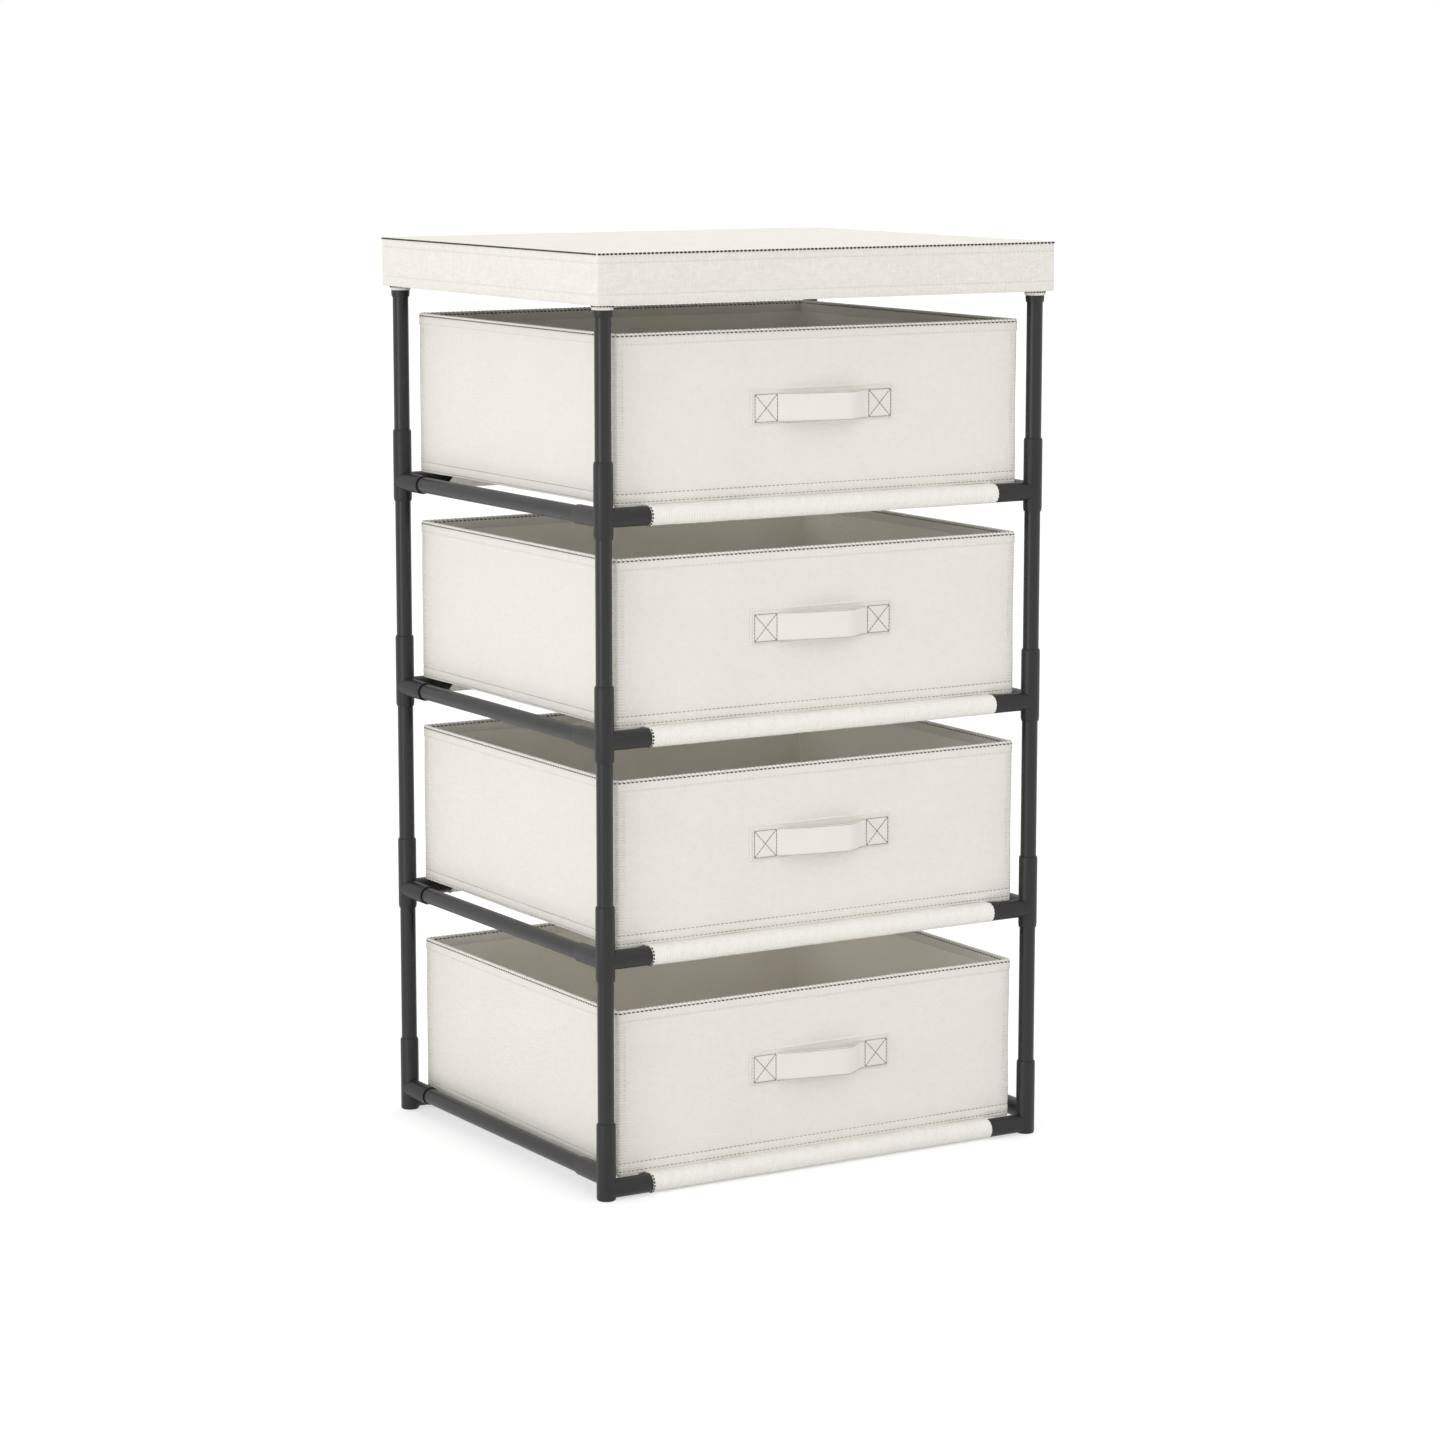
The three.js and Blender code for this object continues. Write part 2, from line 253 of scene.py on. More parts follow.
class Finish:
    """A material in the making: its shader's sockets to fill, and the piece's own coordinates."""

    def __init__(self, name):
        self.material = bpy.data.materials.new(name)
        self.material.use_nodes = True
        self.tree = self.material.node_tree
        self.shader = self.tree.nodes["Principled BSDF"]
        coordinates = self.tree.nodes.new("ShaderNodeTexCoord")
        self.place = Wire(self.tree, coordinates.outputs["Object"])

    def along(self):
        """The piece's own x, y and z, as three wires."""
        split = self.place.node("ShaderNodeSeparateXYZ", {}, {0: self.place})
        return [Wire(self.tree, socket) for socket in split.socket.node.outputs]

    def shade(self, **sockets):
        """Fills the shader's sockets, with spaces written as underscores, and returns the material."""
        for name, value in sockets.items():
            socket = self.shader.inputs[name.replace("_", " ")]
            if isinstance(value, Wire):
                self.tree.links.new(value.socket, socket)
            else:
                socket.default_value = value
        return self.material


def moulded_plastic():
    """Satin charcoal plastic with the fine spark texture of its mould, and scuffs from handling."""
    finish = Finish("moulded_plastic")
    spark = finish.place.grain(0.0006, detail=3)
    flow = finish.place.grain(0.018)
    scuffs = finish.place.grain(0.006, detail=4) ** 5
    return finish.shade(
        Base_Color=(flow * 0.7 + scuffs).tint(PLASTIC_DARK, PLASTIC_LIGHT),
        Roughness=flow * 0.06 + spark * 0.06 + 0.37,
        Normal=spark.relief(0.00002),
        Specular_IOR_Level=0.42,
    )


def connector_parts(drop=0.0):
    """Sockets for the two rails: the side rail's with its axis at zero, and the other a drop below."""
    thin, thinner = SLEEVE_RADIUS - DRAFT, SLEEVE_RADIUS - 2 * DRAFT
    far = ARM_REACH + CUTTER_PAST
    arms = [rod(thin, 0, ARM_REACH, "X", -drop), rod(thinner, 0, ARM_REACH, "Y")]
    bores = [
        rod(SLEEVE_BORE, WEB, SLEEVE_ABOVE + CUTTER_PAST),
        rod(SLEEVE_BORE - DRAFT, ARM_STOP, far, "X", -drop),
        rod(SLEEVE_BORE - 2 * DRAFT, ARM_STOP, far, "Y"),
    ]
    return arms, bores


def sleeve_top(top):
    """The rounded upper edge of a sleeve."""
    return [
        (SLEEVE_RADIUS, top - SLEEVE_LIP),
        (SLEEVE_RADIUS - 0.4 * SLEEVE_LIP_INSET, top - 0.3 * SLEEVE_LIP),
        (SLEEVE_RADIUS - SLEEVE_LIP_INSET, top),
    ]


def middle_connector():
    arms, bores = connector_parts()
    tapered = [(SLEEVE_BORE + MOUTH_EDGE, -SLEEVE_BELOW), (SLEEVE_RADIUS, SLEEVE_TAPER - SLEEVE_BELOW)]
    sleeve = skin("sleeve", turned([*tapered, *sleeve_top(SLEEVE_ABOVE)]))
    below = rod(SLEEVE_BORE, -SLEEVE_BELOW - CUTTER_PAST, -WEB)
    return moulded("middle_connector", [sleeve, *arms], [*bores, below])


def foot_connector(hand):
    """hand is 1 for the front left foot's form, and -1 for its mirror image."""
    floor = -middle("side_rail_1_left").z
    drop = middle("side_rail_1_left").z - middle("front_rail_1").z
    arms, bores = connector_parts(drop)
    quarter = [(math.cos(angle) - 1, math.sin(angle) + 1) for angle in np.radians((-90, -60, -30, 0))]
    base = [(SLEEVE_RADIUS + FOOT_ROUNDING * across, floor + FOOT_ROUNDING * up) for across, up in quarter]
    sleeve = skin("sleeve", turned([*base, *sleeve_top(SLEEVE_ABOVE)]))
    foot = moulded(f"foot_connector_{hand}", [sleeve, *arms], bores)
    if hand < 0:
        foot.transform(Matrix.Scale(-1, 4, (1, 0, 0)))
        foot.flip_normals()
    return foot


charcoal_plastic = moulded_plastic()
middle_shape = smoothed(middle_connector(), charcoal_plastic)
foot_shapes = {hand: smoothed(foot_connector(hand), charcoal_plastic) for hand in (1, -1)}
for quarter_turns, (corner, (right, back)) in enumerate(CORNERS.items()):
    post = middle(f"upright_1_{corner}")
    for level in LEVELS:
        rail_height = middle(f"side_rail_{level}_left").z
        node = f"foot_connector_{corner}" if level == 1 else f"connector_{level}_{corner}"
        if level == 1:
            shape, turn = foot_shapes[right * back], (back + 1) * math.pi / 2
        else:
            shape, turn = middle_shape, quarter_turns * math.pi / 2
        connector = put(f"moulded_{node}", shape, (post.x, post.y, rail_height), turn)
        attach(connector, "frame")
        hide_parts(node)


# Uprights and rails. Thin steel tube, welded lengthwise, cut square and powder-coated charcoal. The ends
# push into the connectors, and nothing else holds them.
TUBE_RADIUS = 0.008
TUBE_WALL = 0.001
TUBE_EDGE = 0.0003
COAT_DARK = (0.012, 0.0119, 0.0121, 1)
COAT_LIGHT = (0.019, 0.0188, 0.0191, 1)


def powder_coat():
    """Charcoal powder coat: a faint orange peel, with a satin sheen that wanders along the tube."""
    finish = Finish("powder_coat")
    peel = finish.place.grain(0.0014)
    dust = finish.place.grain(0.0005)
    wander = finish.place.grain(0.03)
    return finish.shade(
        Base_Color=(wander * 0.6 + dust * 0.4).tint(COAT_DARK, COAT_LIGHT),
        Roughness=wander * 0.06 + dust * 0.04 + 0.32,
        Normal=(peel * 0.8 + dust * 0.2).relief(0.000025),
        Specular_IOR_Level=0.42,
    )


def tube(name, length, axis):
    """A tube along an axis with its middle at zero. The ends' edges are broken."""
    end = length / 2
    inner = TUBE_RADIUS - TUBE_WALL
    outline = [
        (inner, -end), (TUBE_RADIUS - TUBE_EDGE, -end), (TUBE_RADIUS, TUBE_EDGE - end),
        (TUBE_RADIUS, end - TUBE_EDGE), (TUBE_RADIUS - TUBE_EDGE, end), (inner, end),
    ]
    return smoothed(laid(skin(name, turned(outline), looped=True), axis), charcoal_coat)


def length_of(node, axis):
    low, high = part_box(node)
    return high["XYZ".index(axis)] - low["XYZ".index(axis)]


charcoal_coat = powder_coat()
upright_shape = tube("upright", length_of("upright_1_front_left", "Z"), "Z")
long_rail_shape = tube("long_rail", length_of("front_rail_1", "X"), "X")
side_rail_shape = tube("side_rail", length_of("side_rail_1_left", "Y"), "Y")
for level in LEVELS:
    tubes = {f"upright_{level}_{corner}": upright_shape for corner in CORNERS}
    tubes |= {f"{side}_rail_{level}": long_rail_shape for side in ("front", "back")}
    tubes |= {f"side_rail_{level}_{side}": side_rail_shape for side in ("left", "right")}
    for node, shape in tubes.items():
        piece = put(f"coated_{node}", shape, middle(node))
        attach(piece, "frame")
        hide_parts(node)


# Cloth shelves. Each is one sheet of cream embossed fabric, folded round the front and the back rail and
# sewn down. Pushing the rails into their connectors pulls it taut. Dark stitches edge its left end. The
# sheet is painted paler than the bins' cream, and paler again in the ribs round the rails: painted light.
CLOTH_THICKNESS = 0.0013
CLOTH_CLEAR = 0.0004  # between a rail and the cloth round it
CLOTH_SEAM = 0.026  # from a rail's axis to the seam that closes the loop
CLOTH_LAP = 0.012  # how far the cut end runs on under the sheet
LAP_DROP = 0.0016  # from the sheet down to its cut end
CLOTH_SAG = 0.0022
CLOTH_STEP = 0.009
CREAM = (0.885, 0.863, 0.806, 1)
CREAM_SHADE = (0.784, 0.76, 0.695, 1)
# The shelf cloth's colours are paler than the bins' cream: painted light on the loops round the rails.
LOOP_PAINTED_LIGHT = (0.95, 0.932, 0.882, 1)
LOOP_PAINTED_LIGHT_LOW = (0.865, 0.845, 0.785, 1)
CLOTH_RIPPLE = (0.035, 0.0003)  # the spacing and the height of its waves
EMBOSS_PITCH = 0.0023
RIB_PITCH = 0.0028
SCALLOP = 0.0008
SCALLOP_PITCH = 0.0034
END_STITCHES = 0.0011  # from the cloth's left end
END_GAP = 27  # degrees on both sides of the loop's top that have none, so that the bin slides freely
THREAD_THICKNESS = 0.0007
PLY_PITCH = 0.0012
# Each thread has a dark and a lit colour; the lit one is a painted highlight on the plies' crests.
DARK_THREAD = (0.018, 0.017, 0.015, 1)
DARK_THREAD_LIT = (0.045, 0.042, 0.036, 1)
END_STITCH = (SCALLOP_PITCH, 0.0022, 0.0, 0.0018)  # pitch, length, lift off the cloth, thickness
ACROSS_STITCH = (0.005, 0.0036)
STITCH_RINGS = 5
THREAD_SIDES = 6
SLUB_WIDTH = 0.0022
SLUB_FROM = 0.58  # the share of the grain above which the yarn is thick
SLUB_WAYS = ((0.2, 1, 1), (1, 0.2, 1), (1, 1, 0.2))  # thick places in the yarn, drawn out along x, y and z

half_depth = middle("back_rail_1").y  # from the middle to each rail's axis
cloth_low, cloth_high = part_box("shelf_cloth_1")


def embossed(name, ribs=None, light=CREAM, shade=CREAM_SHADE, fold_painted_shading=-0.25, slubs_show=0.0):
    """Fabric rolled with a fine grid of dimples. ribs takes x, y and z and gives the height of the small
    folds that a seam pulls in, and slubs_show is how far the thick places in the yarn stand out."""
    finish = Finish(name)
    along = finish.along()
    dimples = sum((axis * (2 * math.pi / EMBOSS_PITCH)).sine() for axis in along) * 0.17 + 0.5
    fibres = finish.place.grain(0.0008, detail=3)
    crinkle = finish.place.grain(0.006, detail=4)
    clouds = finish.place.grain(0.06)
    height = dimples * 0.4 + fibres * 0.15 + crinkle * 0.7
    tone = dimples * 0.4 + fibres * 0.3 + crinkle * 0.6 + clouds * 0.3 - 0.3
    # The folds are painted into the colour too: darker by default, painted shade in their creases; the
    # shelf cloth's are painted lighter, painted light.
    if ribs:
        folds = ribs(*along)
        height = height + folds
        tone = tone + folds * fold_painted_shading
    if slubs_show:
        level, inward, upright = (finish.place.stretched(way).grain(SLUB_WIDTH) for way in SLUB_WAYS)
        slubs = level.at_least(inward).at_least(upright) - SLUB_FROM
        height = height + slubs * slubs_show
        tone = tone + slubs * slubs_show
    return finish.shade(
        Base_Color=tone.tint(shade, light),
        Roughness=fibres * 0.1 + 0.84,
        Normal=height.relief(0.0004),
        Specular_IOR_Level=0.25,
        Sheen_Weight=0.06,
    )


def wave(place, pitch):
    """Folds from 0 to 1 along a place."""
    return (place * (2 * math.pi / pitch)).sine() * 0.5 + 0.5


def near(distance, reach):
    """1 where a distance is 0, fading to 0 at its reach."""
    return (1 - distance * (1 / reach)).at_least(0.0)


def rail_ribs(x, y, z):
    """Fine folds round the rails, where the cloth is pulled tight."""
    from_rail = (half_depth - y.size()).size()
    tight = x.grain(0.02)
    return wave(x + z * 0.1, RIB_PITCH) * near(from_rail, CLOTH_SEAM) * (tight + 0.3) * 2


def twisted_thread(name, dark, light):
    """Sewing thread of two twisted plies."""
    finish = Finish(name)
    x, y, z = finish.along()
    plies = wave(x + y + z, PLY_PITCH)
    fuzz = finish.place.grain(0.0007)
    # The plies are painted lighter along their crests and darker in the twist between them: painted
    # highlight and shade.
    return finish.shade(
        Base_Color=(plies * 0.5 + fuzz * 0.5).tint(dark, light),
        Roughness=fuzz * 0.1 + 0.7,
        Normal=plies.relief(0.00008),
    )


def lengths(points):
    """How far along a line each of its points is."""
    return np.concatenate(([0], np.cumsum(np.linalg.norm(np.diff(points, axis=0), axis=1))))


def off_line(points):
    """The way that a surface faces where it is cut along a line, at each of the line's points."""
    ahead = np.gradient(points, axis=0)
    ahead /= np.linalg.norm(ahead, axis=1, keepdims=True)
    return np.column_stack((-ahead[:, 1], ahead[:, 0]))


def sewing(name, lines, thread, pitch, length, lift=0.0004, thickness=THREAD_THICKNESS):
    """Stitches of thread along lines. A line is its points and, for each, the way that the cloth faces."""
    swell = np.sin(np.pi * np.linspace(0.08, 0.92, STITCH_RINGS))
    round_thread = np.arange(THREAD_SIDES) * (2 * math.pi / THREAD_SIDES)
    rings = []
    for points, faces_out in lines:
        points, faces_out = np.asarray(points, float), np.asarray(faces_out, float)
        passed = lengths(points)
        count = max(1, round(passed[-1] / pitch))
        middles = (np.arange(count)[:, None] + 0.5) * (passed[-1] / count)
        spots = middles + length * np.linspace(-0.5, 0.5, STITCH_RINGS)
        core = np.stack([np.interp(spots, passed, points[:, i]) for i in range(3)], -1)
        out = np.stack([np.interp(spots, passed, faces_out[:, i]) for i in range(3)], -1)
        out /= np.linalg.norm(out, axis=-1, keepdims=True)
        ahead = np.gradient(core, axis=1)
        side = np.cross(ahead, out)
        side /= np.linalg.norm(side, axis=-1, keepdims=True)
        core += out * (lift * swell)[:, None]
        radius = (thickness / 2 * (0.35 + 0.65 * swell))[:, None, None]
        spokes = np.cos(round_thread)[:, None] * out[:, :, None]
        spokes += np.sin(round_thread)[:, None] * side[:, :, None]
        rings.append(core[:, :, None] + radius * spokes)
    rings = np.concatenate(rings)
    faces = []
    each = STITCH_RINGS * THREAD_SIDES
    for first in range(0, len(rings) * each, each):
        last = first + each - THREAD_SIDES
        for ring in range(first, last, THREAD_SIDES):
            for j in range(THREAD_SIDES):
                a, b = ring + j, ring + (j + 1) % THREAD_SIDES
                faces.append((a, a + THREAD_SIDES, b + THREAD_SIDES, b))
        faces.append(tuple(range(first, first + THREAD_SIDES)))
        faces.append(tuple(range(last + THREAD_SIDES - 1, last - 1, -1)))
    mesh = bpy.data.meshes.new(name)
    mesh.from_pydata(rings.reshape(-1, 3).tolist(), [], faces)
    return smoothed(mesh, thread, crease=80)


def ripple(mesh, spacing, height):
    """Lets a surface wander by up to height, in waves about spacing long."""
    moves = [vertex.normal * (height * noise.noise(vertex.co / spacing)) for vertex in mesh.vertices]
    for vertex, move in zip(mesh.vertices, moves):
        vertex.co += move
    return mesh


def sag(y):
    """How far the sheet hangs down between the rails."""
    return CLOTH_SAG * math.cos(math.pi * y / half_depth / 2) ** 2


def cloth_outline():
    """The cloth's outline as (y, z) points: from its front cut end under the sheet, round the front rail
    from below, over the sheet, and the same way back round the back rail."""
    radius = TUBE_RADIUS + CLOTH_CLEAR + CLOTH_THICKNESS / 2
    rise = 2 * math.atan2(radius, CLOTH_SEAM)
    around = np.linspace(-math.pi / 2 + rise, -1.5 * math.pi, 72)
    loop = [(CLOTH_SEAM + CLOTH_LAP * share, radius - LAP_DROP) for share in (1, 0.5, 0)]
    loop += [(radius * math.cos(angle), radius * math.sin(angle)) for angle in around]
    front = [(y - half_depth, z) for y, z in loop]
    steps = round(2 * half_depth / CLOTH_STEP)
    flat = []
    for i in range(1, steps):
        y = half_depth * (2 * i / steps - 1)
        flat.append((y, radius - sag(y)))
    back = [(-y, z) for y, z in reversed(front)]
    return np.array([*front, *flat, *back])


def cloth_shelf():
    """The cloth, with its flat width and length. Its two faces are offset along the outline's normals."""
    outline = cloth_outline()
    length = np.linalg.norm(np.diff(outline, axis=0), axis=1).sum()
    normal = off_line(outline) * CLOTH_THICKNESS / 2
    faces = np.concatenate((outline + normal, (outline - normal)[::-1]))
    width = cloth_high.x - cloth_low.x
    across = np.linspace(cloth_low.x, cloth_high.x, round(width / CLOTH_STEP) + 1)
    rows = [np.column_stack((np.full(len(faces), x), faces)) for x in across]
    scallops = SCALLOP * np.sin(lengths(outline) * (math.pi / SCALLOP_PITCH)) ** 2
    scallops = np.concatenate((scallops, scallops[::-1]))
    rows[0][:, 0] += scallops
    rows[-1][:, 0] -= scallops
    mesh = ripple(skin("cloth_shelf", rows), *CLOTH_RIPPLE)
    return smoothed(mesh, loop_fabric_painted_light, crease=60), (width, length)


def cloth_seams():
    """The stitches round the left end of each loop, and the seams across that close the two loops."""
    outer = TUBE_RADIUS + CLOTH_CLEAR + CLOTH_THICKNESS
    angles = np.radians(np.linspace(90 + END_GAP, 450 - END_GAP, 73))
    out = np.column_stack((np.zeros(len(angles)), np.cos(angles), np.sin(angles)))
    rounds = []
    across = []
    for side in (-1, 1):
        rounds.append((out * outer + np.array([cloth_low.x + END_STITCHES, side * half_depth, 0]), out))
        y = side * (half_depth - CLOTH_SEAM)
        z = outer - sag(y)
        across.append(([(cloth_low.x, y, z), (cloth_high.x, y, z)], [(0, 0, 1)] * 2))
    return rounds, across


cream_fabric = embossed("cream_fabric")
# The shelf cloth is painted paler, and its rail ribs lighter still: painted light.
loop_fabric_painted_light = embossed("loop_fabric_painted_light", rail_ribs, light=LOOP_PAINTED_LIGHT, shade=LOOP_PAINTED_LIGHT_LOW, fold_painted_shading=0.35)
dark_thread = twisted_thread("dark_thread", DARK_THREAD, DARK_THREAD_LIT)
cloth_shape, cloth_flat = cloth_shelf()
end_lines, across_lines = cloth_seams()
ends_shape = sewing("ends", end_lines, dark_thread, *END_STITCH)
across_shape = sewing("across", across_lines, dark_thread, *ACROSS_STITCH)
for level in LEVELS:
    hung_at = (0, 0, middle(f"front_rail_{level}").z)
    cloth = put(f"cloth_shelf_{level}", cloth_shape, hung_at)
    edging = put(f"cloth_edging_{level}", ends_shape, hung_at)
    seams = put(f"cloth_seams_{level}", across_shape, hung_at)
    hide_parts(f"shelf_cloth_{level}")
    for piece in (cloth, edging, seams):
        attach(piece, "frame")


# Open bins. Cream fabric outside and inside, sewn over stiffener boards, so that the walls stand by
# themselves. The lining is painted paler than the outside: painted light in the bins' shaded insides. A
# strip of the same fabric binds the rim and is rolled over its top, where it is painted paler still, a
# painted highlight. A loose board lies in the bottom.
BIN_WALL = 0.003
BIN_FLOOR = 0.004
BIN_PROUD = 0.0006  # how far the binding stands out from the walls
BIN_FRONT_INSET = 0.006  # from the front rail's axis
BIN_CORNER = 0.0038
BINDING_HEIGHT = 0.0120
RIM_RISE = 0.0012  # of the binding over the stiffener boards
RIM_SEAM = 0.0030  # below the rim's top
BASE_SEAMS = (0.0024, 0.0105)  # above the bin's underside
SEAM_HALF = 0.0016  # half the width of the dent along a seam
SEAM_PULL = 0.0005
ROLL_FOLD = 0.0028  # from the rim's top down to the edges of the boards
BOARD_GAP = 0.0015  # between the lining and the loose board
CORNER_SEAM = 0.0085  # from a bin's corner
CORNER_SEAM_ENDS = (0.003, 0.002)  # above the base seams, and below the binding
RIBS_PAST_SEAM = 0.005
PALE_SEAM_RISE = 0.0012  # from the binding's lower edge
BASE_SEAM_IN = 0.0004  # how far its stitches are sunk in the dent
STITCH_PITCH = 0.0048
ROLL_RADIUS = 0.0013
ROLL_SCALLOP = 0.0009
BINDING_LIGHT = (0.89, 0.872, 0.794, 1)
# The roll's colours are paler than the binding's: a painted highlight where the rim's top catches the
# light.
ROLL_PAINTED_HIGHLIGHT = (0.955, 0.941, 0.892, 1)
ROLL_PAINTED_HIGHLIGHT_LOW = (0.90, 0.882, 0.825, 1)
FRONT_DROOP = (0.0005, 0.0022)  # of the front's lower edge: on the cloth shelf, and free at both ends
DROOP_FROM = 0.197  # from the middle
DROOP_FULL = 0.209
DROOP_DEPTH = 0.003  # from the front
DROOP_EASE = 0.001
# The lining's colours are painted paler than the outside cream: painted light for the bins' shaded
# insides.
LINING_PAINTED_LIGHT = (0.98, 0.952, 0.872, 1)
LINING_PAINTED_LIGHT_LOW = (0.955, 0.925, 0.835, 1)
PALE_THREAD = (0.72, 0.70, 0.63, 1)
PALE_THREAD_LIT = (0.82, 0.795, 0.725, 1)
GREY_THREAD = (0.29, 0.28, 0.24, 1)
GREY_THREAD_LIT = (0.41, 0.395, 0.345, 1)
RIM_STITCH = (STITCH_PITCH, 0.0031, 0.0003, 0.0011)
BASE_STITCH = (STITCH_PITCH, 0.0031, 0.0003, 0.0008)
PALE_STITCH = (STITCH_PITCH, 0.0034, 0.0002, 0.0006)
CORNER_STITCH = (STITCH_PITCH, 0.0038, 0.0001, 0.0004)
PANEL_STEP = 0.012
LEAST_RADIUS = 0.0004
PANEL_RIPPLE = (0.07, 0.0007)
BINDING_RIPPLE = (0.012, 0.00025)


def panel_plan(left, right, front, back, radius, inset=0.0, step=PANEL_STEP, corner_steps=6):
    """Points round a rectangle with rounded corners, seen from above, as many whatever the inset."""
    x_count = round((right - left) / step)
    y_count = round((back - front) / step)
    left, right, front, back = left + inset, right - inset, front + inset, back - inset
    radius = max(radius - inset, LEAST_RADIUS)
    centres = [
        (right - radius, front + radius, -90, y_count),
        (right - radius, back - radius, 0, x_count),
        (left + radius, back - radius, 90, y_count),
        (left + radius, front + radius, 180, x_count),
    ]
    points = []
    for i, (x, y, start, count) in enumerate(centres):
        for j in range(corner_steps + 1):
            angle = math.radians(start + 90 * j / corner_steps)
            points.append((x + radius * math.cos(angle), y + radius * math.sin(angle)))
        here = np.array(points[-1])
        next_x, next_y = centres[(i + 1) % 4][:2]
        there = np.array([next_x + radius * math.cos(angle), next_y + radius * math.sin(angle)])
        points.extend(here + (there - here) * (j / count) for j in range(1, count))
    return np.array(points)


def walls(name, plan, outline, looped=False):
    """A mesh that follows a plan, with one ring for each (inset, height) of the outline."""
    rings = []
    for inset, height in outline:
        around = panel_plan(*plan, inset=inset)
        rings.append(np.column_stack((around, np.full(len(around), height))))
    return skin(name, rings, looped)


def rising(start, end, step=PANEL_STEP):
    """Heights from just after start to just before end, about a step apart."""
    count = max(2, round(abs(end - start) / step))
    return [start + (end - start) * i / count for i in range(1, count)]


def bin_shell(plan, height):
    """Outer fabric and lining as one closed body, with the outside pulled in along the base seams."""
    rim = height - BINDING_HEIGHT
    outside = [(0.012, 0), (0.0020, 0), (0.0003, 0.0003)]
    for seam in BASE_SEAMS:
        outside += [(0.0, seam - SEAM_HALF), (SEAM_PULL, seam), (0.0, seam + SEAM_HALF)]
    outside += [(0.0, z) for z in rising(BASE_SEAMS[-1] + SEAM_HALF, rim)]
    fold = height - ROLL_FOLD
    top = [(0.0, rim), (0.0004, fold), (BIN_WALL / 2, fold + 0.0008), (BIN_WALL - 0.0004, fold)]
    inside = [(BIN_WALL, z) for z in [rim, *rising(rim, 0.008), 0.008]]
    floor = [(BIN_WALL + 0.0012, BIN_FLOOR + 0.0008), (BIN_WALL + 0.003, BIN_FLOOR), (0.012, BIN_FLOOR)]
    mesh = walls("bin_shell", plan, [*outside, *top, *inside, *floor])
    held, free = FRONT_DROOP
    droop_back = plan[2] + DROOP_DEPTH
    for vertex in mesh.vertices:
        if vertex.co.z < 0.0005 and vertex.co.y < droop_back:
            beyond = (abs(vertex.co.x) - DROOP_FROM) / (DROOP_FULL - DROOP_FROM)
            forward = (droop_back - vertex.co.y) / DROOP_EASE
            vertex.co.z -= (held + (free - held) * min(max(beyond, 0), 1)) * min(forward, 1)
    mesh.update()
    smoothed(ripple(mesh, *PANEL_RIPPLE), panel_fabric, crease=60)
    mesh.materials.append(lining_fabric_painted_light)
    around = len(panel_plan(*plan))
    lined = range(len(outside) + len(top) // 2, len(mesh.polygons) // around)
    for face in mesh.polygons:
        inner_cap = face.index == len(mesh.polygons) - 1
        face.material_index = int(inner_cap or face.index // around in lined)
    return mesh


def rim_binding(plan, height):
    """The strip folded over the rim, up to the seam under its roll. Its lower edges are sewn down."""
    low, pinch = height - BINDING_HEIGHT, height - RIM_SEAM
    proud = -BIN_PROUD
    outside = [
        (0.0004, low), (proud + 0.0002, low + 0.0001), (proud, low + 0.0012), (proud, pinch - 0.0022),
        (proud + 0.0001, pinch - 0.0010), (0.0002, pinch), (0.0006, pinch + 0.0004),
    ]
    inward = [(BIN_WALL - inset, z) for inset, z in reversed(outside)]
    mesh = walls("rim_binding", plan, [*outside, *inward], looped=True)
    return smoothed(ripple(mesh, *BINDING_RIPPLE), binding_fabric, crease=70)


def rim_roll(plan, height):
    """The binding's fold over the top of the rim. Each stitch of the seam below draws it in a little."""
    ring_steps = 10
    middle_line = panel_plan(*plan, inset=BIN_WALL / 2, step=STITCH_PITCH / 6, corner_steps=8)
    ahead = np.roll(middle_line, -1, 0) - np.roll(middle_line, 1, 0)
    out = np.column_stack((ahead[:, 1], -ahead[:, 0]))
    out /= np.linalg.norm(out, axis=1, keepdims=True)
    drawn_in = ROLL_SCALLOP * np.cos(lengths(middle_line) * (math.pi / STITCH_PITCH)) ** 8
    rings = []
    for angle in np.arange(ring_steps) * (2 * math.pi / ring_steps):
        aside = (BIN_WALL / 2 + BIN_PROUD - drawn_in) * math.cos(angle)
        up = (ROLL_RADIUS - drawn_in) * math.sin(angle)
        rings.append(np.column_stack((middle_line + out * aside[:, None], height - ROLL_RADIUS + up)))
    return smoothed(skin("rim_roll", rings, looped=True), roll_fabric_painted_highlight, crease=80)


def loose_board(plan):
    """The board in the bottom, covered in the lining's cloth."""
    inset = BIN_WALL + BOARD_GAP
    outline = [
        (inset + 0.02, 0.0045), (inset + 0.0006, 0.0045), (inset, 0.0052),
        (inset, 0.0064), (inset + 0.0008, 0.0071), (inset + 0.02, 0.0074),
    ]
    return smoothed(walls("loose_board", plan, outline), lining_fabric_painted_light, crease=70)


def seam_round(plan, height, inset, inward=False):
    """A line round a box at a height, with the way that the wall faces there."""
    points = panel_plan(*plan, inset=inset)
    points = np.concatenate((points, points[:1]))
    ahead = np.gradient(points, axis=0)
    out = np.column_stack((ahead[:, 1], -ahead[:, 0], np.zeros(len(points))))
    return np.column_stack((points, np.full(len(points), height))), -out if inward else out


def both_faces(height, proud):
    """Lines round the walls, outside and inside."""
    return [seam_round(plan, height, -proud), seam_round(plan, height, BIN_WALL + proud, inward=True)]


